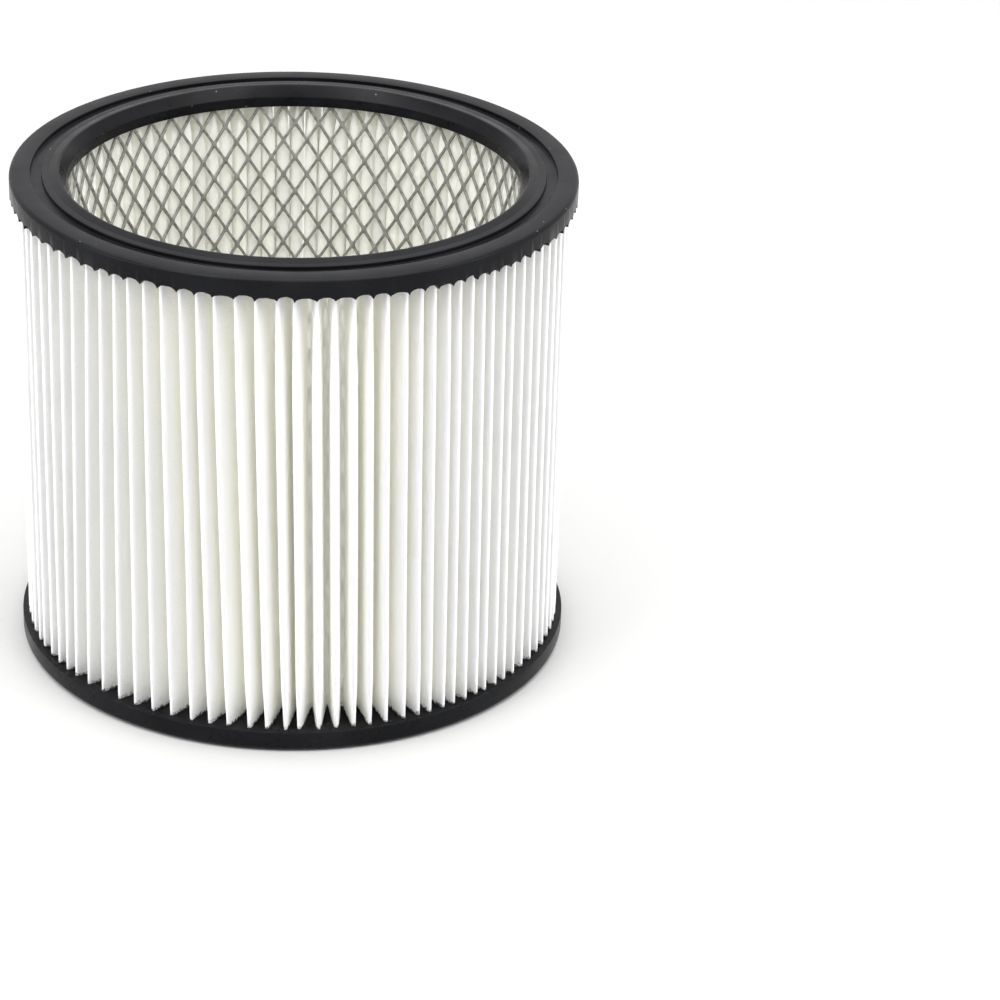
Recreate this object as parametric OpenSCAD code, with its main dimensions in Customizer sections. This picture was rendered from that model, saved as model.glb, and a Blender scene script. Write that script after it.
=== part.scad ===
/* [Overall] */
// Outside diameter of both end rings
outside_d = 200; // [150:1:260]
// Height from the lower sealing lip to the upper one
overall_h = 179.8; // [110:0.1:300]

/* [End rings] */
// Radial width of each end ring, from its hole to its outer wall
ring_w = 20; // [18:0.5:40]
// Height of each moulded end ring, from its inner side to its flat land
ring_h = 7; // [6:0.1:12]
// Rounding where each ring's outer wall meets its sealing face
outer_round_r = 1.5; // [0.5:0.1:2.5]
// Width of the flat outer land of each sealing face
land_w = 5.9; // [4:0.1:6.5]
// Width of the seal groove inside the land
groove_w = 4; // [1.5:0.1:4.5]
// Depth of the seal groove
groove_depth = 1.6; // [0.5:0.1:1.8]
// Height that the sealing lip round the hole stands above the land
lip_rise = 0.7; // [0.2:0.1:1.2]
// Width of the slope from the lip's top down to the face outside it
lip_slope_w = 2.7; // [1:0.1:3.2]
// Width of the lip's flat top, up to the edge of the mouth
lip_top_w = 0.8; // [0.6:0.1:1]
// Width of the sloping mouth between the lip and the straight hole
mouth_w = 2.5; // [1:0.1:3]
// Height of the sloping mouth
mouth_h = 3.9; // [2:0.1:4.4]
// Rounding of the edge between the lip's top and the mouth
mouth_round_r = 0.6; // [0.2:0.1:0.8]
// Thickness of moulded skin over the ends of the paper and the core
skin_t = 2.4; // [2.2:0.1:3.2]
// Height that the upper ring's skirt hangs below its inner side
skirt_h = 1.3; // [1:0.1:3]
// Width of the skirt, in from the outer wall
skirt_w = 4.5; // [3:0.1:6]
// Height that the skirt's edge arches up between two pleats
arch_rise = 1.2; // [0.5:0.1:2]
// Radius of the arches between the pleats
arch_r = 4.4; // [3.5:0.1:8]

/* [Pleated paper] */
// Number of pleats
pleat_count = 98; // [40:1:110]
// Distance from the rings' outer wall in to the tips of the pleats
tip_inset = 2.2; // [1.5:0.1:5]
// Thickness of the filter paper
paper_t = 0.5; // [0.3:0.05:0.7]
// Width of the rounded crest of each fold
crest_w = 1.3; // [1.2:0.05:1.6]
// Direction of the front, which the folds' unevenness is measured from
front_az = 270; // [0:1:359]
// Turn of the first pleat away from the front
first_fold_turn = 1; // [-2:0.1:2]
// Direction of the middle of the loosely packed folds, from the front
loose_az = -38; // [-90:1:-10]
// Angle over which the loosely packed folds fade into even ones
loose_spread = 25; // [15:1:40]
// Direction of the middle of the tightly packed folds, from the front
tight_az = 40; // [10:1:90]
// Angle over which the tightly packed folds fade into even ones
tight_spread = 16; // [15:1:40]
// Angle that the loose folds take from the tight ones
patch_shift = 7; // [0:0.1:8]

/* [Support core] */
// Thickness of the expanded steel sheet
core_t = 0.8; // [0.6:0.05:1.2]
// Ring material between the hole and the core
core_cover = 1; // [0.8:0.1:2]
// Gap between the core's corners and the inner folds of the paper
core_gap = 0.2; // [0.1:0.05:0.6]
// Number of diamond openings around the core
cell_count = 36; // [18:1:40]
// Number of rows of diamond openings up the core
cell_rows = 7; // [3:1:9]
// Width of the strands between the openings
strand_w = 1.2; // [0.8:0.05:2]

/* [Hidden] */

// How far a cut runs past the surface that it opens
past = 1;
// Steps in the preview of a wide circle and of a small one
wide_steps = 180;
small_steps = 48;
// Share of the paper's thickness that a crest loses on the inside of its bend
bend_share = 0.82;

ring_r = outside_d / 2;
bore_r = ring_r - ring_w;

// Height of each ring's inner side above the lower lip's plane
lower_side_z = ring_h + lip_rise;
upper_side_z = overall_h - lower_side_z;

// The paper and the core end under the same skin inside both rings
insert_z = lip_rise + skin_t;
insert_h = overall_h - 2 * insert_z;

// The core is a tube of flat panels, one to each opening around it
core_in_r = bore_r + core_cover;
core_out_r = core_in_r + core_t;
half_panel_az = 180 / cell_count;
core_corner_r = core_out_r / cos(half_panel_az);

// The folds run between these radii
tip_r = ring_r - tip_inset;
valley_r = core_corner_r + core_gap;

// Half widths of a crest on the outside and on the inside of its bend,
// which differ so that the sheet keeps its thickness round the corner
crest_outside = crest_w / 2;
crest_inside = crest_outside - bend_share * paper_t;

// A smooth step from -1 far below zero to 1 far above it
function smooth_step(x) = 2 / (1 + exp(-2 * x)) - 1;

// How far the uneven packing moves a fold from where even pleats would have it
function drift(even_az) = patch_shift / 2 * (
    smooth_step((even_az - loose_az) / loose_spread)
    - smooth_step((even_az - tight_az) / tight_spread));

// Direction of a fold: whole numbers are tips and halves are valleys
function fold_az(i) =
    let (even_az = (i - pleat_count / 2) * 360 / pleat_count)
    front_az + first_fold_turn + even_az + drift(even_az) - drift(0);

// A point at a radius and a direction, set off sideways by a distance
function beside(r, az, side) =
    [r * cos(az) - side * sin(az), r * sin(az) + side * cos(az)];

// One face of the folded sheet, with the two corners of each crest
function sheet_face(tip, tip_side, valley, valley_side) = [
    for (i = [0 : pleat_count - 1]) each [
        beside(tip, fold_az(i), -tip_side),
        beside(tip, fold_az(i), tip_side),
        beside(valley, fold_az(i + 0.5), -valley_side),
        beside(valley, fold_az(i + 0.5), valley_side)
    ]
];

// The pleated sheet, a closed zigzag that stands between the two skins
module folded_sheet() {
    translate([0, 0, insert_z])
        linear_extrude(insert_h)
            difference() {
                polygon(sheet_face(tip_r, crest_outside, valley_r + paper_t, crest_inside));
                polygon(sheet_face(tip_r - paper_t, crest_inside, valley_r, crest_outside));
            }
}

// What is cut away where a section's upper right corner is rounded
module corner_cut(r) {
    difference() {
        translate([-r, -r]) square(r + past);
        translate([-r, -r]) circle(r, $fn = small_steps);
    }
}

// What is cut away where the lip's flat top turns down into the mouth
module mouth_cut(r) {
    slant = norm([mouth_w, mouth_h]);
    centre = [r * (slant - mouth_w) / mouth_h, -r];
    reach = r + past;
    difference() {
        polygon([
            centre, centre + [0, reach], [-reach, reach],
            centre + reach / slant * [-mouth_h, mouth_w]
        ]);
        translate(centre) circle(r, $fn = small_steps);
    }
}

// Half of a ring's section, from its hole to its outer wall, sealing face up
module ring_section() {
    groove_r = ring_r - outer_round_r - land_w - groove_w;
    mouth_r = bore_r + mouth_w;
    lip_r = mouth_r + lip_top_w;
    lip_z = ring_h + lip_rise;
    difference() {
        polygon([
            [bore_r, 0], [ring_r, 0], [ring_r, ring_h], [lip_r + lip_slope_w, ring_h],
            [lip_r, lip_z], [mouth_r, lip_z], [bore_r, lip_z - mouth_h]
        ]);
        translate([ring_r, ring_h]) corner_cut(outer_round_r);
        translate([groove_r, ring_h - groove_depth]) square([groove_w, groove_depth + past]);
        translate([mouth_r, lip_z]) mouth_cut(mouth_round_r);
    }
}

// A ring as it is moulded round the ends of the paper and the core
module moulded_ring() {
    slot_r = valley_r + paper_t / 2;
    difference() {
        children();
        folded_sheet();
        translate([0, 0, insert_z])
            linear_extrude(insert_h)
                difference() {
                    circle(slot_r, $fn = wide_steps);
                    panel_outline(core_in_r);
                }
    }
}

// The polygon whose sides lie at a distance from the axis
module panel_outline(r) {
    corner_r = r / cos(half_panel_az);
    polygon([
        for (i = [0 : cell_count - 1])
            let (az = (2 * i + 1) * half_panel_az)
            corner_r * [cos(az), sin(az)]
    ]);
}

// Openings through the core, in a column that faces one direction
module opening_column(az, heights, outline) {
    for (z = heights)
        rotate([90, 0, az + 90])
            translate([0, z, core_in_r - past])
                linear_extrude(core_t + 2 * past)
                    polygon(outline);
}

// Arches along the edge of the skirt, one over each valley of the paper
module edge_arches(z) {
    for (i = [0 : pleat_count - 1])
        rotate([0, 90, fold_az(i + 0.5)])
            translate([arch_r - arch_rise - z, 0, ring_r - skirt_w - past])
                cylinder(r = arch_r, h = skirt_w + 2 * past, $fn = small_steps);
}

module top_end_ring() {
    color([0.2, 0.2, 0.21])
        difference() {
            moulded_ring()
                translate([0, 0, upper_side_z])
                    rotate_extrude($fn = wide_steps) {
                        ring_section();
                        translate([ring_r - skirt_w, -skirt_h]) square([skirt_w, skirt_h]);
                    }
            edge_arches(upper_side_z - skirt_h);
        }
}

module bottom_end_ring() {
    color([0.2, 0.2, 0.21])
        moulded_ring()
            translate([0, 0, lower_side_z])
                mirror([0, 0, 1])
                    rotate_extrude($fn = wide_steps) ring_section();
}

module pleated_paper() {
    color([0.95, 0.95, 0.92]) folded_sheet();
}

module support_core() {
    row_h = (upper_side_z - lower_side_z) / cell_rows;
    half_w = core_out_r * tan(half_panel_az);
    half_h = row_h / 2;
    // The strands take half their width from each side of an opening
    shrink = 1 - strand_w / 2 * norm([half_w, half_h]) / (half_w * half_h);
    side_w = half_w * shrink;
    side_h = half_h * shrink;
    whole_rows = [for (k = [0 : cell_rows - 1]) lower_side_z + (k + 0.5) * row_h];
    joined_rows = [for (k = [1 : cell_rows - 1]) lower_side_z + k * row_h];
    color([0.45, 0.45, 0.42])
        difference() {
            translate([0, 0, insert_z])
                linear_extrude(insert_h)
                    difference() {
                        panel_outline(core_out_r);
                        panel_outline(core_in_r);
                    }
            for (i = [0 : cell_count - 1]) {
                panel_az = 2 * i * half_panel_az;
                corner_az = panel_az + half_panel_az;
                opening_column(panel_az, whole_rows,
                    [[-side_w, 0], [0, -side_h], [side_w, 0], [0, side_h]]);
                opening_column(corner_az, joined_rows,
                    [[-side_w, 0], [0, -side_h], [side_w, 0], [0, side_h]]);
                opening_column(corner_az, [lower_side_z],
                    [[-side_w, 0], [side_w, 0], [0, side_h]]);
                opening_column(corner_az, [upper_side_z],
                    [[-side_w, 0], [side_w, 0], [0, -side_h]]);
            }
        }
}

top_end_ring();
bottom_end_ring();
pleated_paper();
support_core();
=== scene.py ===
import math
import random

import bmesh
import bpy
from bpy.props import (
    FloatProperty,
    FloatVectorProperty,
    IntProperty,
    PointerProperty,
)
from bpy.types import Operator, Panel, PropertyGroup
from mathutils import Matrix, Vector


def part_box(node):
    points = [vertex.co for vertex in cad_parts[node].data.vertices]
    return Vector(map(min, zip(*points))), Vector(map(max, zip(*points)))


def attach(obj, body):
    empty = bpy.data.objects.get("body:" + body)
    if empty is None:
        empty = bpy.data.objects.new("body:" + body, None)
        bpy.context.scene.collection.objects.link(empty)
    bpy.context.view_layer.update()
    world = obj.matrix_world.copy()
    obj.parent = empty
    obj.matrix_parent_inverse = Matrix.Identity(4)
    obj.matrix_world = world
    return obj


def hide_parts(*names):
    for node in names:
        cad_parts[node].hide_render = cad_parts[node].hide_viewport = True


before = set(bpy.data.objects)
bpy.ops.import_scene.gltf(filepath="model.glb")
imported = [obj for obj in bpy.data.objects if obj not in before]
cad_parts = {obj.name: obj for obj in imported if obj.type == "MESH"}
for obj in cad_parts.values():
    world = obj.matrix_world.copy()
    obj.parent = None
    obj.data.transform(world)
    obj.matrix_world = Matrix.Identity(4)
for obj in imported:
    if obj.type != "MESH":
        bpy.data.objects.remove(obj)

bl_info = {
    "name": "Pleated Cartridge Filter",
    "version": (1, 0, 0),
    "blender": (4, 5, 0),
    "location": "View3D > Sidebar > Filter",
    "description": "Moulded end rings, pleated paper and an expanded steel core",
    "category": "Add Mesh",
}

MM = 0.001

# The solids give every overall size
TOP_LOW, TOP_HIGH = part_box("top_end_ring")
BOTTOM_LOW, BOTTOM_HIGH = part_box("bottom_end_ring")
PAPER_LOW, PAPER_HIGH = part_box("pleated_paper")
CORE_LOW, CORE_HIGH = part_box("support_core")
RING_R = TOP_HIGH.x
RING_H = BOTTOM_HIGH.z - BOTTOM_LOW.z
LOWER_SIDE = BOTTOM_HIGH.z
UPPER_SIDE = TOP_HIGH.z - RING_H
SKIRT_H = UPPER_SIDE - TOP_LOW.z
TIP_R = PAPER_HIGH.x
CORE_R = CORE_HIGH.x


class RingSettings(PropertyGroup):
    """Sizes and finish of the moulded end rings"""

    bore_r: FloatProperty(
        name="Hole Radius", description="Radius of the hole through each ring",
        default=80 * MM, min=40 * MM, max=95 * MM, unit="LENGTH", precision=4)
    land_w: FloatProperty(
        name="Land Width", description="Width of the flat outer land",
        default=5.9 * MM, min=MM, max=10 * MM, unit="LENGTH", precision=4)
    edge_r: FloatProperty(
        name="Outer Rounding", description="Rounding between outer wall and land",
        default=1.5 * MM, min=0.1 * MM, max=4 * MM, unit="LENGTH", precision=4)
    groove_w: FloatProperty(
        name="Groove Width", description="Width of the seal groove",
        default=4 * MM, min=MM, max=6 * MM, unit="LENGTH", precision=4)
    groove_depth: FloatProperty(
        name="Groove Depth", description="Depth of the seal groove",
        default=1.6 * MM, min=0.2 * MM, max=2 * MM, unit="LENGTH", precision=4)
    lip_rise: FloatProperty(
        name="Lip Rise", description="Height of the sealing lip above the land",
        default=0.7 * MM, min=0, max=2 * MM, unit="LENGTH", precision=5)
    lip_slope_w: FloatProperty(
        name="Lip Slope", description="Width of the slope outside the lip",
        default=2.7 * MM, min=MM, max=5 * MM, unit="LENGTH", precision=4)
    lip_top_w: FloatProperty(
        name="Lip Top", description="Width of the lip's flat top",
        default=0.8 * MM, min=0.4 * MM, max=2 * MM, unit="LENGTH", precision=5)
    mouth_w: FloatProperty(
        name="Mouth Width", description="Width of the sloping mouth of the hole",
        default=2.5 * MM, min=0, max=4 * MM, unit="LENGTH", precision=4)
    mouth_h: FloatProperty(
        name="Mouth Height", description="Height of the sloping mouth of the hole",
        default=3.9 * MM, min=MM, max=5 * MM, unit="LENGTH", precision=4)
    skirt_w: FloatProperty(
        name="Skirt Width", description="Width of the skirt under the upper ring",
        default=4.5 * MM, min=2 * MM, max=8 * MM, unit="LENGTH", precision=4)
    arch_rise: FloatProperty(
        name="Arch Rise", description="Height of the arches between two pleats",
        default=1.8 * MM, min=0, max=3 * MM, unit="LENGTH", precision=4)
    colour: FloatVectorProperty(
        name="Ring Colour", description="Base colour of the soft black moulding",
        default=(0.0058, 0.006, 0.007), size=3, min=0, max=1, subtype="COLOR")
    roughness: FloatProperty(
        name="Ring Roughness", description="Mean roughness of the moulding",
        default=0.29, min=0, max=1, subtype="FACTOR")


class PaperSettings(PropertyGroup):
    """Folds and finish of the filter paper"""

    pleats: IntProperty(
        name="Pleats", description="Number of pleats", default=98, min=20, max=160)
    thickness: FloatProperty(
        name="Paper Thickness", description="Thickness of the sheet",
        default=0.5 * MM, min=0.1 * MM, max=MM, unit="LENGTH", precision=5)
    valley_r: FloatProperty(
        name="Valley Radius", description="Radius of the folds next to the core",
        default=82.3 * MM, min=60 * MM, max=95 * MM, unit="LENGTH", precision=4)
    crest_end: FloatProperty(
        name="Crest at Ends", description="Rounding of a crest where a ring grips it",
        default=0.38 * MM, min=0.3 * MM, max=2 * MM, unit="LENGTH", precision=5)
    crest_middle: FloatProperty(
        name="Crest at Middle", description="Rounding of a crest at mid height",
        default=0.85 * MM, min=0.3 * MM, max=2 * MM, unit="LENGTH", precision=5)
    valley_end: FloatProperty(
        name="Valley at Ends", description="Half width of a valley where a ring grips it",
        default=0.5 * MM, min=0.3 * MM, max=2 * MM, unit="LENGTH", precision=5)
    valley_share: FloatProperty(
        name="Valley at Middle", description="Share of its room that a valley fills",
        default=0.9, min=0.2, max=0.95, subtype="FACTOR")
    valley_front: FloatProperty(
        name="Valley at Front",
        description="Share of its room that a valley fills at the middle of the front",
        default=0.5, min=0.2, max=0.95, subtype="FACTOR")
    valley_depth: FloatProperty(
        name="Valley Depth", description="Depth of a valley's rounding at mid height",
        default=0.6 * MM, min=0.3 * MM, max=2 * MM, unit="LENGTH", precision=5)
    bow_end: FloatProperty(
        name="Bow at Ends", description="Power of a flank's bow where a ring grips it",
        default=0.75, min=0.2, max=1)
    bow_middle: FloatProperty(
        name="Bow at Middle", description="Power of a flank's bow at mid height",
        default=0.42, min=0.2, max=1)
    swell_valley: FloatProperty(
        name="Valley Swell", description="Height over which the valleys swell",
        default=15 * MM, min=5 * MM, max=80 * MM, unit="LENGTH", precision=4)
    swell_top: FloatProperty(
        name="Upper Swell", description="Height over which folds swell under the top ring",
        default=42 * MM, min=5 * MM, max=80 * MM, unit="LENGTH", precision=4)
    swell_bottom: FloatProperty(
        name="Lower Swell", description="Height over which folds swell over the lower ring",
        default=18 * MM, min=5 * MM, max=80 * MM, unit="LENGTH", precision=4)
    unevenness: FloatProperty(
        name="Unevenness", description="Largest chance turn of a fold",
        default=math.radians(0.32), min=0, subtype="ANGLE")
    first_turn: FloatProperty(
        name="First Fold", description="Turn of the first crest from the front",
        default=math.radians(1), subtype="ANGLE")
    loose_az: FloatProperty(
        name="Loose Patch", description="Middle of the loosely packed folds",
        default=math.radians(-38), subtype="ANGLE")
    loose_spread: FloatProperty(
        name="Loose Spread", description="Angle over which the loose patch fades",
        default=math.radians(25), subtype="ANGLE")
    tight_az: FloatProperty(
        name="Tight Patch", description="Middle of the tightly packed folds",
        default=math.radians(40), subtype="ANGLE")
    tight_spread: FloatProperty(
        name="Tight Spread", description="Angle over which the tight patch fades",
        default=math.radians(16), subtype="ANGLE")
    patch_shift: FloatProperty(
        name="Patch Shift", description="Angle the loose folds take from the tight ones",
        default=math.radians(7), subtype="ANGLE")
    front_lean: FloatProperty(
        name="Front Lean", description="How far the valleys lie to the right at the front",
        default=math.radians(1.2), subtype="ANGLE")
    lean_spread: FloatProperty(
        name="Lean Spread", description="Angle over which the front lean fades",
        default=math.radians(27), subtype="ANGLE")
    colour: FloatVectorProperty(
        name="Paper Colour", description="Base colour of the paper",
        default=(0.988, 0.986, 0.934), size=3, min=0, max=1, subtype="COLOR")
    see_through: FloatProperty(
        name="Light Reach", description="How far light spreads inside the paper",
        default=4 * MM, min=0, max=10 * MM, unit="LENGTH", precision=5)


class CoreSettings(PropertyGroup):
    """Mesh and finish of the expanded steel core"""

    cells: IntProperty(
        name="Cells Around", description="Diamond cells in one row",
        default=58, min=12, max=90)
    rows: IntProperty(
        name="Cell Rows", description="Rows of cells between the rings",
        default=12, min=2, max=20)
    strand_w: FloatProperty(
        name="Strand Width", description="Width of a strand",
        default=1.0 * MM, min=0.3 * MM, max=3 * MM, unit="LENGTH", precision=4)
    thickness: FloatProperty(
        name="Steel Thickness", description="Thickness of the expanded sheet",
        default=0.8 * MM, min=0.2 * MM, max=2 * MM, unit="LENGTH", precision=4)
    side_round: FloatProperty(
        name="Side Rounding", description="Rounding of an opening's side corners",
        default=1.5 * MM, min=0.3 * MM, max=3 * MM, unit="LENGTH", precision=4)
    end_round: FloatProperty(
        name="End Rounding", description="Rounding of an opening's end corners",
        default=0.45 * MM, min=0.1 * MM, max=MM, unit="LENGTH", precision=5)
    colour: FloatVectorProperty(
        name="Steel Colour", description="Base colour of the dull zinc coat",
        default=(0.23, 0.228, 0.208), size=3, min=0, max=1, subtype="COLOR")


class StageSettings(PropertyGroup):
    """Camera and light of the studio"""

    camera_back: FloatProperty(
        name="Camera Distance", description="Distance of the camera in front of the axis",
        default=1.1904, min=0.3, max=5, unit="LENGTH")
    camera_high: FloatProperty(
        name="Camera Height", description="Height of the camera above the floor",
        default=0.6471, min=0, max=5, unit="LENGTH")
    yaw: FloatProperty(
        name="Yaw", description="Turn of the view to the right",
        default=math.radians(3.652), subtype="ANGLE")
    pitch: FloatProperty(
        name="Pitch", description="Tilt of the view below the horizon",
        default=math.radians(26.642), subtype="ANGLE")
    roll: FloatProperty(
        name="Roll", description="Roll of the camera round its own axis",
        default=math.radians(1.853), subtype="ANGLE")
    lens: FloatProperty(
        name="Lens", description="Focal length on a 36 mm sensor, in millimetres",
        default=130.13, min=20, max=400)
    left_power: FloatProperty(
        name="Left Power", description="Power of the high softbox at the left",
        default=12, min=0, max=1000)
    right_power: FloatProperty(
        name="Right Power", description="Power of the high softbox at the right",
        default=10.5, min=0, max=1000)
    side_power: FloatProperty(
        name="Side Power", description="Power of each low side softbox",
        default=5, min=0, max=1000)
    overhead_power: FloatProperty(
        name="Overhead Power", description="Power of the wide softbox overhead",
        default=62, min=0, max=1000)
    bounces: IntProperty(
        name="Bounces", description="How often light may bounce between the white folds",
        default=10, min=4, max=64)
    front_wall: FloatProperty(
        name="Front Wall", description="Strength of the room's wall behind the camera",
        default=0.65, min=0, max=5)
    back_wall: FloatProperty(
        name="Back Wall", description="Strength of the room's pale back wall",
        default=2.0, min=0, max=5)
    ceiling_light: FloatProperty(
        name="Ceiling Light", description="Strength of the room's dim ceiling",
        default=0.76, min=0, max=5)
    floor_colour: FloatVectorProperty(
        name="Floor Colour", description="Colour of the plain floor",
        default=(0.6, 0.6, 0.6), size=3, min=0, max=1, subtype="COLOR")
    floor_seen: FloatVectorProperty(
        name="Floor Seen",
        description="Colour in which the camera sees the floor, so that its shadow shows",
        default=(0.465, 0.465, 0.465), size=3, min=0, max=1, subtype="COLOR")


def smooth_step(x):
    """A smooth step from -1 far below zero to 1 far above it."""
    return math.tanh(x)


def bump(x):
    """A smooth bump of height 1 round zero."""
    return math.exp(-x * x)


def blend_in(x):
    """0 below zero, 1 above one, and a smooth rise between them."""
    x = min(max(x, 0.0), 1.0)
    return x * x * (3 - 2 * x)


def fold_direction(paper, i):
    """Direction of fold i from the front, in the solid: whole numbers are crests."""
    def drift(az):
        return paper.patch_shift / 2 * (
            smooth_step((az - paper.loose_az) / paper.loose_spread)
            - smooth_step((az - paper.tight_az) / paper.tight_spread))

    even = (i / paper.pleats - 0.5) * 2 * math.pi
    return paper.first_turn + even + drift(even) - drift(0)


def fold_lean(az):
    """How far a fold's foot lies to the right of its head, as an angle."""
    deg = math.degrees(az)
    return math.radians(
        1.0 + 1.5 * bump((deg + 12) / 11) - 3.5 * bump((deg + 48) / 12))


class Fold:
    """One pleat: where its crest and the valley after it stand, and how they swing."""

    def __init__(self, paper, i, chance):
        turn = paper.unevenness
        self.tip = fold_direction(paper, i) + chance.uniform(-turn, turn)
        middle = fold_direction(paper, i + 0.5)
        lean = paper.front_lean * bump(middle / paper.lean_spread)
        self.low = middle + lean + chance.uniform(-turn, turn) / 3
        self.tip_swing = chance.uniform(-turn, turn) / 2
        self.low_swing = chance.uniform(-turn, turn) / 6
        self.foot_turn = chance.uniform(-turn, turn) / 2

    def tip_at(self, up):
        """Direction of the crest at a share of the height between the rings."""
        swing = math.sin(math.pi * min(max(up, 0), 1))
        foot = self.foot_turn * blend_in(1 - up / 0.3)
        return self.tip + fold_lean(self.tip) * (0.5 - up) + self.tip_swing * swing + foot

    def low_at(self, up):
        """Direction of the valley at a share of the height between the rings."""
        swing = math.sin(math.pi * min(max(up, 0), 1))
        return self.low + fold_lean(self.low) * (0.5 - up) + self.low_swing * swing


def plan_folds(paper):
    """All pleats round the filter, with the same chance turns each time."""
    chance = random.Random(5)
    return [Fold(paper, i, chance) for i in range(paper.pleats)]


def gap_after(directions, i):
    """Angle from one direction to the next one round the axis."""
    after = directions[(i + 1) % len(directions)]
    return (after - directions[i]) % (2 * math.pi)


def on_ring(r, az, z, side=0.0):
    """The point at a radius and a direction from the front, set off sideways."""
    return Vector((
        r * math.sin(az) + side * math.cos(az),
        -r * math.cos(az) + side * math.sin(az),
        z))


def mesh_from_loops(name, loops):
    """A closed skin through closed loops of equal length, last joined to first."""
    count = len(loops[0])
    points = [p for loop in loops for p in loop]
    faces = []
    for j in range(len(loops)):
        here, there = j * count, (j + 1) % len(loops) * count
        for k in range(count):
            step = (k + 1) % count
            faces.append((here + k, here + step, there + step, there + k))
    mesh = bpy.data.meshes.new(name)
    mesh.from_pydata(points, [], faces)
    return mesh


def finish_mesh(mesh, sharp_deg=40):
    """Turns all faces outwards and shades them smoothly."""
    bm = bmesh.new()
    bm.from_mesh(mesh)
    bmesh.ops.recalc_face_normals(bm, faces=bm.faces)
    bm.to_mesh(mesh)
    bm.free()
    mesh.shade_smooth()
    mesh.set_sharp_from_angle(angle=math.radians(sharp_deg))


def add_piece(name, mesh, material, node):
    """Puts a finished mesh in the scene in place of its solid."""
    piece = bpy.data.objects.new(name, mesh)
    bpy.context.scene.collection.objects.link(piece)
    mesh.materials.append(material)
    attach(piece, "root")
    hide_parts(node)
    return piece


def rounded(corners, steps=5):
    """A closed outline through (x, y, rounding) corners, rounded by arcs."""
    outline = []
    for k, (x, y, r) in enumerate(corners):
        here = Vector((x, y))
        before = Vector(corners[k - 1][:2])
        after = Vector(corners[(k + 1) % len(corners)][:2])
        a = (before - here).normalized()
        b = (after - here).normalized()
        half = a.angle(b) / 2
        if r == 0 or half > math.radians(89.9):
            outline.append(here)
            continue
        centre = here + (a + b).normalized() * r / math.sin(half)
        start = here + a * r / math.tan(half) - centre
        end = here + b * r / math.tan(half) - centre
        sweep = start.angle_signed(end)
        for s in range(steps + 1):
            turned = start.copy()
            turned.rotate(Matrix.Rotation(-sweep * s / steps, 2))
            outline.append(centre + turned)
    return outline


def new_material(name):
    """An empty node material with its shader and an object texture space."""
    material = bpy.data.materials.new(name)
    material.use_nodes = True
    nodes, links = material.node_tree.nodes, material.node_tree.links
    shader = nodes["Principled BSDF"]
    space = nodes.new("ShaderNodeTexCoord").outputs["Object"]
    return material, nodes, links, shader, space


def add_noise(nodes, links, space, scale, detail=3.0, rough=0.5, stretch=None):
    """A noise over the object's own space, with its scale per metre."""
    if stretch:
        mapping = nodes.new("ShaderNodeMapping")
        mapping.inputs["Scale"].default_value = stretch
        links.new(space, mapping.inputs["Vector"])
        space = mapping.outputs["Vector"]
    noise = nodes.new("ShaderNodeTexNoise")
    noise.inputs["Scale"].default_value = scale
    noise.inputs["Detail"].default_value = detail
    noise.inputs["Roughness"].default_value = rough
    links.new(space, noise.inputs["Vector"])
    return noise.outputs["Fac"]


def add_range(nodes, links, value, low, high, to_low, to_high):
    """Maps a value from one range to another and keeps it inside."""
    remap = nodes.new("ShaderNodeMapRange")
    remap.inputs["From Min"].default_value = low
    remap.inputs["From Max"].default_value = high
    remap.inputs["To Min"].default_value = to_low
    remap.inputs["To Max"].default_value = to_high
    links.new(value, remap.inputs["Value"])
    return remap.outputs["Result"]


def add_mix(nodes, links, factor, dark, light):
    """Mixes two colours, each a constant or a socket."""
    mix = nodes.new("ShaderNodeMix")
    mix.data_type = "RGBA"
    links.new(factor, mix.inputs["Factor"])
    for socket, colour in ((mix.inputs["A"], dark), (mix.inputs["B"], light)):
        if isinstance(colour, bpy.types.NodeSocket):
            links.new(colour, socket)
        else:
            socket.default_value = (*colour, 1)
    return mix.outputs["Result"]


def add_bump(nodes, links, height, depth, under=None):
    """A bump of a depth in metres, over another bump where there is one."""
    node = nodes.new("ShaderNodeBump")
    node.inputs["Distance"].default_value = depth
    links.new(height, node.inputs["Height"])
    if under:
        links.new(under, node.inputs["Normal"])
    return node.outputs["Normal"]


def scaled(colour, by):
    """A colour made lighter or darker by one factor."""
    return tuple(min(c * by, 1.0) for c in colour)


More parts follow.
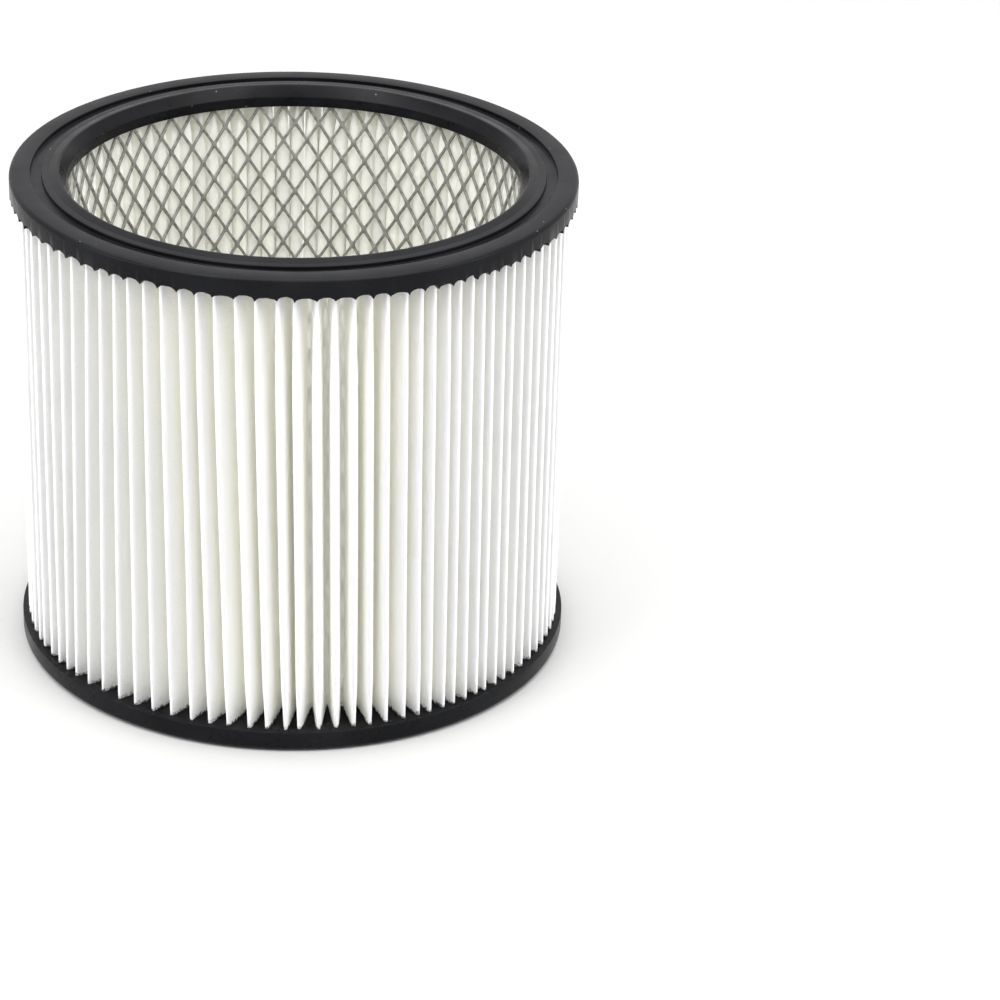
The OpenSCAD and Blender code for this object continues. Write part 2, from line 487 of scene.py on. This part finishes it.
def ring_material(settings):
    """Soft black moulding: satin, faintly mottled, with dust and release marks."""
    material, nodes, links, shader, space = new_material("moulded_black")
    base = tuple(settings.colour)
    cloud = add_noise(nodes, links, space, 38, 2, 0.6)
    grain = add_noise(nodes, links, space, 2600, 2, 0.6)
    tone = add_range(nodes, links, cloud, 0.35, 0.7, 0, 1)
    colour = add_mix(nodes, links, tone, scaled(base, 0.75), scaled(base, 1.35))
    dust = nodes.new("ShaderNodeTexVoronoi")
    dust.inputs["Scale"].default_value = 240
    links.new(space, dust.inputs["Vector"])
    speck = add_range(nodes, links, dust.outputs["Distance"], 0.045, 0.07, 1, 0)
    sparse = add_noise(nodes, links, space, 60, 1, 0.5)
    where = add_range(nodes, links, sparse, 0.6, 0.62, 0, 0.6)
    both = nodes.new("ShaderNodeMath")
    both.operation = "MULTIPLY"
    links.new(speck, both.inputs[0])
    links.new(where, both.inputs[1])
    dusty = add_mix(nodes, links, both.outputs[0], (0, 0, 0), (0.3, 0.3, 0.29))
    links.new(colour, dusty.node.inputs["A"])
    links.new(dusty, shader.inputs["Base Color"])
    smear = add_noise(nodes, links, space, 90, 3, 0.65)
    rough = add_range(
        nodes, links, smear, 0.3, 0.7,
        settings.roughness - 0.06, settings.roughness + 0.08)
    links.new(rough, shader.inputs["Roughness"])
    shader.inputs["Specular IOR Level"].default_value = 0.089
    swell = add_noise(nodes, links, space, 130, 2, 0.4)
    soft = add_bump(nodes, links, swell, 0.00003)
    links.new(add_bump(nodes, links, grain, 0.000008, soft), shader.inputs["Normal"])
    return material


def paper_material(settings):
    """Off-white filter paper: matt felted fibres, stained where a ring grips it."""
    material, nodes, links, shader, space = new_material("filter_paper")
    base = tuple(settings.colour)
    felt = add_noise(nodes, links, space, 1100, 1, 0.7)
    cloud = add_noise(nodes, links, space, 60, 1, 0.5, (1, 1, 0.25))
    fibre = add_noise(nodes, links, space, 420, 1, 0.6, (1, 1, 2.2))
    tone = add_range(nodes, links, cloud, 0.3, 0.7, 0, 1)
    colour = add_mix(nodes, links, tone, scaled(base, 0.985), scaled(base, 1.01))
    height = nodes.new("ShaderNodeSeparateXYZ")
    links.new(space, height.inputs[0])
    ragged = add_noise(nodes, links, space, 700, 1, 0.7)
    spread = add_range(nodes, links, ragged, 0.3, 0.7, -0.0007, 0.0009)
    level = nodes.new("ShaderNodeMath")
    level.operation = "SUBTRACT"
    links.new(height.outputs["Z"], level.inputs[0])
    links.new(spread, level.inputs[1])
    stain = add_range(
        nodes, links, level.outputs[0], LOWER_SIDE, LOWER_SIDE + 1.2 * MM, 1, 0)
    stained = add_mix(nodes, links, stain, (0, 0, 0), (0.05, 0.05, 0.05))
    links.new(colour, stained.node.inputs["A"])
    links.new(stained, shader.inputs["Base Color"])
    shader.inputs["Roughness"].default_value = 0.95
    shader.inputs["Specular IOR Level"].default_value = 0.25
    shader.inputs["Subsurface Weight"].default_value = 1
    shader.inputs["Subsurface Radius"].default_value = (1, 1, 0.9)
    shader.inputs["Subsurface Scale"].default_value = settings.see_through
    coarse = add_bump(nodes, links, fibre, 0.00015)
    links.new(add_bump(nodes, links, felt, 0.00007, coarse), shader.inputs["Normal"])
    return material


def steel_material(settings):
    """Dull zinc-coated steel: grey-green and spangled."""
    material, nodes, links, shader, space = new_material("zinc_coated_steel")
    base = tuple(settings.colour)
    spangle = nodes.new("ShaderNodeTexVoronoi")
    spangle.inputs["Scale"].default_value = 520
    links.new(space, spangle.inputs["Vector"])
    tone = add_range(nodes, links, spangle.outputs["Distance"], 0.1, 0.7, 0, 1)
    colour = add_mix(nodes, links, tone, scaled(base, 0.72), scaled(base, 1.35))
    links.new(colour, shader.inputs["Base Color"])
    shader.inputs["Metallic"].default_value = 0.35
    patch = add_noise(nodes, links, space, 420, 2, 0.6)
    rough = add_range(nodes, links, patch, 0.3, 0.7, 0.38, 0.62)
    links.new(rough, shader.inputs["Roughness"])
    pits = add_noise(nodes, links, space, 1500, 2, 0.6)
    links.new(add_bump(nodes, links, pits, 0.00004), shader.inputs["Normal"])
    return material


def ring_outline(settings, drop):
    """The section of a ring as (radius, height over its inner side) points."""
    land = RING_H - settings.lip_rise
    groove_out = RING_R - settings.edge_r - settings.land_w
    groove_in = groove_out - settings.groove_w
    mouth = settings.bore_r + settings.mouth_w
    lip = mouth + settings.lip_top_w
    floor = land - settings.groove_depth
    under = RING_R - settings.skirt_w
    corners = [
        (settings.bore_r, 0, 0.3 * MM),
        (settings.bore_r, RING_H - settings.mouth_h, 0.5 * MM),
        (mouth, RING_H, 0.35 * MM),
        (lip, RING_H, 0.35 * MM),
        (lip + settings.lip_slope_w, land, MM),
        (groove_in, land, 0.3 * MM),
        (groove_in, floor, 0.3 * MM),
        (groove_out, floor, 0.3 * MM),
        (groove_out, land, 0.3 * MM),
        (RING_R, land, settings.edge_r),
        (RING_R, -drop, 0.2 * MM),
        (RING_R - 1.2 * MM, -drop, 0),
        (RING_R - 2.4 * MM, -drop, 0),
        (under + 0.8 * MM, -drop, 0),
    ]
    if drop:
        corners += [(under, 0, 0)]
    return rounded(corners)


def arch(across):
    """Height of an arch between two pleats, from 0 at its feet to 1."""
    return math.sin(math.pi * across) ** 0.5


def ring_loops(settings, paper, seed, drop, place):
    """Loops round the axis, with a skirt arched between the pleats if it drops."""
    chance = random.Random(seed)
    per_pleat = 12
    tips = [fold.tip_at(1.0) for fold in plan_folds(paper)]
    turns, rises = [], []
    for i, start in enumerate(tips):
        gap = gap_after(tips, i)
        height = settings.arch_rise * chance.uniform(0.75, 1.2)
        foot = chance.uniform(-0.2, 0.15) * MM
        for k in range(per_pleat):
            across = k / per_pleat
            turns.append(start + gap * across)
            near_cusp = 1 - math.sin(math.pi * across)
            tooth = chance.uniform(0, 0.1 + 0.3 * near_cusp) * MM
            rises.append(arch(across) * height + foot + tooth if drop else tooth / 3)
    loops = []
    for r, h in ring_outline(settings, drop):
        near_edge = blend_in((r - RING_R + settings.skirt_w) / (2 * MM))
        low = near_edge * blend_in((1.2 * MM - h - drop) / (1.2 * MM))
        if not drop:
            low *= blend_in((r - RING_R + 0.6 * MM) / (0.5 * MM))
        loops.append([
            on_ring(r, az, place(h + rise * low if drop else h - rise * low))
            for az, rise in zip(turns, rises)])
    return loops


def sheet_levels():
    """Heights of the sheet's rows, close together near the rings."""
    rows = 24
    middle = (PAPER_LOW.z + PAPER_HIGH.z) / 2
    reach = (PAPER_HIGH.z - PAPER_LOW.z) / 2
    return [middle - reach * math.cos(math.pi * k / (rows - 1)) for k in range(rows)]


def between(start, end, share):
    """The value at a share of the way from one to another."""
    return start + (end - start) * share


def fold_arc(az, r, z, way, width, depth, turns):
    """Points round a fold, whose outside faces away from the axis where way is 1."""
    points = []
    for a in turns:
        turn = math.radians(a)
        points.append(
            on_ring(r - way * depth * (1 - math.cos(turn)), az, z, width * math.sin(turn)))
    return points


def flank(start, end, az, spread, power):
    """Points down a flank that bows out sideways between a crest and a valley."""
    aside = on_ring(1, az + math.pi / 2, 0)
    return [
        start.lerp(end, share) + aside * spread * (share ** power - share)
        for share in (0.11, 0.32, 0.64)]


def sheet_middle(paper, folds, z):
    """The middle line of the folded sheet at one height."""
    swell = min(
        blend_in((z - LOWER_SIDE) / paper.swell_bottom),
        blend_in((UPPER_SIDE - z) / paper.swell_top))
    up = (z - LOWER_SIDE) / (UPPER_SIDE - LOWER_SIDE)
    half = paper.thickness / 2
    valley_swell = blend_in(
        min(z - LOWER_SIDE, UPPER_SIDE - z) / paper.swell_valley)
    power = between(paper.bow_end, paper.bow_middle, swell)
    crest = between(paper.crest_end, paper.crest_middle, swell)
    depth = between(paper.valley_end, paper.valley_depth, valley_swell)
    tips = [fold.tip_at(up) for fold in folds]
    lows = [fold.low_at(up) for fold in folds]
    crests = [
        fold_arc(az, TIP_R - half, z, 1, crest, crest, (-82, -55, -27, 0, 27, 55, 82))
        for az in tips]
    valleys = []
    for i, az in enumerate(lows):
        room = min(gap_after(lows, i), gap_after(lows, i - 1)) / 2 * paper.valley_r
        share = between(
            paper.valley_share, paper.valley_front, bump(az / paper.lean_spread))
        middle = max(room * share - half, paper.valley_end)
        valley = between(paper.valley_end, middle, valley_swell)
        valleys.append(fold_arc(
            az, paper.valley_r + half, z, -1, valley, depth, (-82, -45, 0, 45, 82)))
    points = []
    for i in range(len(folds)):
        after = (i + 1) % len(folds)
        spread = gap_after(tips, i) / 2 * paper.valley_r - paper.valley_end - crest
        points += crests[i]
        points += flank(crests[i][-1], valleys[i][0], tips[i], spread, power)
        points += valleys[i]
        points += flank(crests[after][0], valleys[i][-1], tips[after], -spread, power)[::-1]
    return points


def offset_loop(points, by):
    """A closed flat loop moved sideways, towards its outside where by is positive."""
    moved = []
    for k, here in enumerate(points):
        along = (points[(k + 1) % len(points)] - points[k - 1])
        out = Vector((along.y, -along.x, 0)).normalized()
        moved.append(here + out * by)
    return moved


def opening_outline(settings, half_w, half_h):
    """A rounded diamond as (across, up) points, sixteen from its right corner on."""
    slant = half_w * half_h / math.hypot(half_w, half_h)
    kept = 1 - settings.strand_w / 2 / slant
    side, top = half_w * kept, half_h * kept
    corner = math.atan2(top, side)
    across, up = math.cos(corner), math.sin(corner)

    def arc(r, half, turns):
        """Points of a rounding that faces +x, from its middle up to its end."""
        end = math.pi / 2 - half
        centre = -r / math.sin(half)
        return [(centre + r * math.cos(end * t), r * math.sin(end * t)) for t in turns]

    right = [(side + x, y) for x, y in arc(settings.side_round, corner, (0, 0.5, 1))]
    upper = [(y, top + x) for x, y in arc(
        settings.end_round, math.pi / 2 - corner, (1, 0))]
    quarter = right + upper
    left = [(-x, y) for x, y in quarter[::-1]][1:]
    half = quarter + left
    return half + [(-x, -y) for x, y in half][1:-1]


def core_cell(settings, az, z, half_az, half_h, outline, faces, points):
    """One cell of the expanded sheet: its strands round a rounded opening."""
    around = len(outline)
    quarter = around // 4
    outer_r = CORE_R
    inner_r = CORE_R - settings.thickness
    edge = 0.16 * MM
    half_w = CORE_R * half_az
    wider = 1 + edge / half_w
    rings = [[], [], [], [], []]
    for k, (across, up) in enumerate(outline):
        corner, share = divmod(k, quarter)
        share /= quarter
        a, b = (((1, 0), (0, 1)), ((0, 1), (-1, 0)), ((-1, 0), (0, -1)), ((0, -1), (1, 0)))[
            corner]
        edge_x = (a[0] * (1 - share) + b[0] * share) * half_w
        edge_y = (a[1] * (1 - share) + b[1] * share) * half_h
        for ring, x, y, r in (
                (rings[0], edge_x, edge_y, inner_r),
                (rings[1], across * wider, up * wider, inner_r),
                (rings[2], across, up, inner_r + edge),
                (rings[3], across, up, outer_r),
                (rings[4], edge_x, edge_y, outer_r)):
            ring.append(on_ring(r, az + x / CORE_R, z + y))
    start = len(points)
    for ring in rings:
        points.extend(ring)
    for j in range(len(rings) - 1):
        for k in range(around):
            step = (k + 1) % around
            here, there = start + j * around, start + (j + 1) * around
            faces.append((here + k, here + step, there + step, there + k))


def trim_ends(mesh, low, high):
    """Cuts a mesh off flat at two heights and closes the cut strands."""
    bm = bmesh.new()
    bm.from_mesh(mesh)
    bmesh.ops.remove_doubles(bm, verts=bm.verts, dist=0.01 * MM)
    for height, way in ((low, -1), (high, 1)):
        geom = bm.verts[:] + bm.edges[:] + bm.faces[:]
        bmesh.ops.bisect_plane(
            bm, geom=geom, dist=0.001 * MM, plane_co=(0, 0, height),
            plane_no=(0, 0, way), clear_outer=True)
    bmesh.ops.holes_fill(bm, edges=[e for e in bm.edges if e.is_boundary], sides=0)
    bm.to_mesh(mesh)
    bm.free()


class FILTER_OT_end_rings(Operator):
    """Make the two moulded end rings"""

    bl_idname = "filter.end_rings"
    bl_label = "Make End Rings"

    def execute(self, context):
        settings = context.scene.filter_ring
        paper = context.scene.filter_paper
        material = ring_material(settings)
        rings = (
            ("upper_ring", "top_end_ring", 11, SKIRT_H, lambda h: UPPER_SIDE + h),
            ("lower_ring", "bottom_end_ring", 12, 0.0, lambda h: LOWER_SIDE - h),
        )
        for name, node, seed, drop, place in rings:
            loops = ring_loops(settings, paper, seed, drop, place)
            mesh = mesh_from_loops(name, loops)
            finish_mesh(mesh)
            add_piece(name, mesh, material, node)
        return {"FINISHED"}


class FILTER_OT_pleated_paper(Operator):
    """Fold the filter paper between the rings"""

    bl_idname = "filter.pleated_paper"
    bl_label = "Fold Pleated Paper"

    def execute(self, context):
        paper = context.scene.filter_paper
        folds = plan_folds(paper)
        outside, inside = [], []
        for z in sheet_levels():
            middle = sheet_middle(paper, folds, z)
            outside.append(offset_loop(middle, paper.thickness / 2))
            inside.append(offset_loop(middle, -paper.thickness / 2))
        mesh = mesh_from_loops("pleated_sheet", outside + inside[::-1])
        finish_mesh(mesh, sharp_deg=60)
        add_piece(
            "pleated_sheet", mesh, paper_material(paper), "pleated_paper")
        return {"FINISHED"}


class FILTER_OT_support_core(Operator):
    """Make the expanded steel core"""

    bl_idname = "filter.support_core"
    bl_label = "Make Support Core"

    def execute(self, context):
        settings = context.scene.filter_core
        half_h = (UPPER_SIDE - LOWER_SIDE) / settings.rows / 2
        half_az = math.pi / settings.cells
        outline = opening_outline(settings, CORE_R * half_az, half_h)
        points, faces = [], []
        for row in range(-1, 2 * settings.rows + 2):
            z = LOWER_SIDE + row * half_h
            shift = half_az if row % 2 else 0.0
            for i in range(settings.cells):
                core_cell(
                    settings, shift + 2 * half_az * i, z, half_az, half_h,
                    outline, faces, points)
        mesh = bpy.data.meshes.new("expanded_core")
        mesh.from_pydata(points, [], faces)
        trim_ends(mesh, CORE_LOW.z, CORE_HIGH.z)
        finish_mesh(mesh, sharp_deg=50)
        add_piece(
            "expanded_core", mesh, steel_material(settings), "support_core")
        return {"FINISHED"}


def seen_plainly(nodes, links):
    """1 for what the camera sees, also in a gloss or through glass, and 0 for light."""
    path = nodes.new("ShaderNodeLightPath")
    seen = path.outputs["Is Camera Ray"]
    for kind in ("Is Glossy Ray", "Is Transmission Ray"):
        either = nodes.new("ShaderNodeMath")
        either.operation = "MAXIMUM"
        links.new(seen, either.inputs[0])
        links.new(path.outputs[kind], either.inputs[1])
        seen = either.outputs["Value"]
    return seen


def add_softbox(name, power, size, place, target):
    """A square area lamp that looks at a point and isn't seen itself."""
    lamp = bpy.data.lights.new(name, "AREA")
    lamp.shape = "RECTANGLE"
    lamp.energy = power
    lamp.size, lamp.size_y = size
    holder = bpy.data.objects.new(name, lamp)
    holder.location = place
    holder.rotation_euler = (target - place).to_track_quat("-Z", "Y").to_euler()
    holder.visible_camera = False
    bpy.context.scene.collection.objects.link(holder)


def add_floor(settings):
    """A wide plain floor that the camera sees as white, with a soft shadow."""
    reach = 6.0
    mesh = bpy.data.meshes.new("studio_floor")
    mesh.from_pydata(
        [(-reach, -reach, 0), (reach, -reach, 0), (reach, reach, 0), (-reach, reach, 0)],
        [], [(0, 1, 2, 3)])
    floor = bpy.data.objects.new("studio_floor", mesh)
    bpy.context.scene.collection.objects.link(floor)
    material, nodes, links, shader, space = new_material("studio_floor")
    shader.inputs["Roughness"].default_value = 0.9
    shader.inputs["Specular IOR Level"].default_value = 0.1
    seen = nodes.new("ShaderNodeMix")
    seen.data_type = "RGBA"
    links.new(seen_plainly(nodes, links), seen.inputs["Factor"])
    seen.inputs[6].default_value = (*settings.floor_colour, 1)
    seen.inputs[7].default_value = (*settings.floor_seen, 1)
    links.new(seen.outputs[2], shader.inputs["Base Color"])
    mesh.materials.append(material)


def add_room(settings):
    """A pale room with a dim ceiling, which the camera sees as plain white."""
    world = bpy.data.worlds.new("studio_room")
    bpy.context.scene.world = world
    world.use_nodes = True
    nodes, links = world.node_tree.nodes, world.node_tree.links
    direction = nodes.new("ShaderNodeSeparateXYZ")
    links.new(nodes.new("ShaderNodeTexCoord").outputs["Generated"], direction.inputs[0])
    wall = add_range(
        nodes, links, direction.outputs["Y"], -0.2, 0.5,
        settings.front_wall, settings.back_wall)
    high = add_range(
        nodes, links, direction.outputs["Z"], math.sin(math.radians(23)),
        math.sin(math.radians(27)), 0, 1)
    room = nodes.new("ShaderNodeMix")
    links.new(high, room.inputs["Factor"])
    links.new(wall, room.inputs["A"])
    room.inputs["B"].default_value = settings.ceiling_light
    seen = nodes.new("ShaderNodeMix")
    links.new(seen_plainly(nodes, links), seen.inputs["Factor"])
    links.new(room.outputs["Result"], seen.inputs["A"])
    seen.inputs["B"].default_value = 1
    links.new(seen.outputs["Result"], nodes["Background"].inputs["Strength"])
    nodes["Background"].inputs["Color"].default_value = (1, 1, 1, 1)


def add_camera(settings):
    """The camera at the photograph's place and angle."""
    yaw, pitch, roll = settings.yaw, settings.pitch, settings.roll
    ahead = Vector((
        math.sin(yaw) * math.cos(pitch), math.cos(yaw) * math.cos(pitch),
        -math.sin(pitch)))
    level = Vector((math.cos(yaw), -math.sin(yaw), 0))
    up = level.cross(ahead)
    right = level * math.cos(roll) + up * math.sin(roll)
    top = up * math.cos(roll) - level * math.sin(roll)
    lens = bpy.data.cameras.new("photo_camera")
    lens.lens = settings.lens
    lens.sensor_width = 36
    camera = bpy.data.objects.new("photo_camera", lens)
    bpy.context.scene.collection.objects.link(camera)
    turn = Matrix((right, top, -ahead)).transposed().to_4x4()
    place = Matrix.Translation((0, -settings.camera_back, settings.camera_high))
    camera.matrix_world = place @ turn
    bpy.context.scene.camera = camera


class FILTER_OT_stage(Operator):
    """Set up the floor, the lights and the camera"""

    bl_idname = "filter.stage"
    bl_label = "Set Up Stage"

    def execute(self, context):
        settings = context.scene.filter_stage
        target = Vector((0, 0, 0.09))
        context.scene.view_settings.view_transform = "Standard"
        add_floor(settings)
        add_room(settings)
        for name, power, place, size in (
                ("left_key", settings.left_power, (-1.05, -0.95, 1.5), (0.8, 0.8)),
                ("right_key", settings.right_power, (1.05, -0.95, 1.5), (0.8, 0.8)),
                ("left_fill", settings.side_power, (-1.3, -0.4, 0.6), (0.8, 0.8)),
                ("right_fill", settings.side_power, (1.3, -0.4, 0.6), (0.8, 0.8)),
                ("overhead", settings.overhead_power, (0, -0.01, 1.9), (2.4, 2.4))):
            add_softbox(name, power, size, Vector(place), target)
        cycles = context.scene.cycles
        cycles.max_bounces = cycles.diffuse_bounces = settings.bounces
        cycles.use_light_tree = False
        add_camera(settings)
        return {"FINISHED"}


class FILTER_PT_sidebar(Panel):
    """The filter's pieces and their sizes"""

    bl_label = "Cartridge Filter"
    bl_idname = "FILTER_PT_sidebar"
    bl_space_type = "VIEW_3D"
    bl_region_type = "UI"
    bl_category = "Filter"

    def draw(self, context):
        scene = context.scene
        parts = (
            (scene.filter_ring, "filter.end_rings"),
            (scene.filter_paper, "filter.pleated_paper"),
            (scene.filter_core, "filter.support_core"),
            (scene.filter_stage, "filter.stage"),
        )
        for settings, operator in parts:
            box = self.layout.box()
            for name in settings.__annotations__:
                box.prop(settings, name)
            box.operator(operator)


CLASSES = (
    RingSettings,
    PaperSettings,
    CoreSettings,
    StageSettings,
    FILTER_OT_end_rings,
    FILTER_OT_pleated_paper,
    FILTER_OT_support_core,
    FILTER_OT_stage,
    FILTER_PT_sidebar,
)


def register():
    for cls in CLASSES:
        bpy.utils.register_class(cls)
    bpy.types.Scene.filter_ring = PointerProperty(type=RingSettings)
    bpy.types.Scene.filter_paper = PointerProperty(type=PaperSettings)
    bpy.types.Scene.filter_core = PointerProperty(type=CoreSettings)
    bpy.types.Scene.filter_stage = PointerProperty(type=StageSettings)


def unregister():
    del bpy.types.Scene.filter_ring
    del bpy.types.Scene.filter_paper
    del bpy.types.Scene.filter_core
    del bpy.types.Scene.filter_stage
    for cls in reversed(CLASSES):
        bpy.utils.unregister_class(cls)


def main():
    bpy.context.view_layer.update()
    register()
    bpy.ops.filter.stage()
    bpy.ops.filter.end_rings()
    bpy.ops.filter.pleated_paper()
    bpy.ops.filter.support_core()


if __name__ == "__main__":
    main()
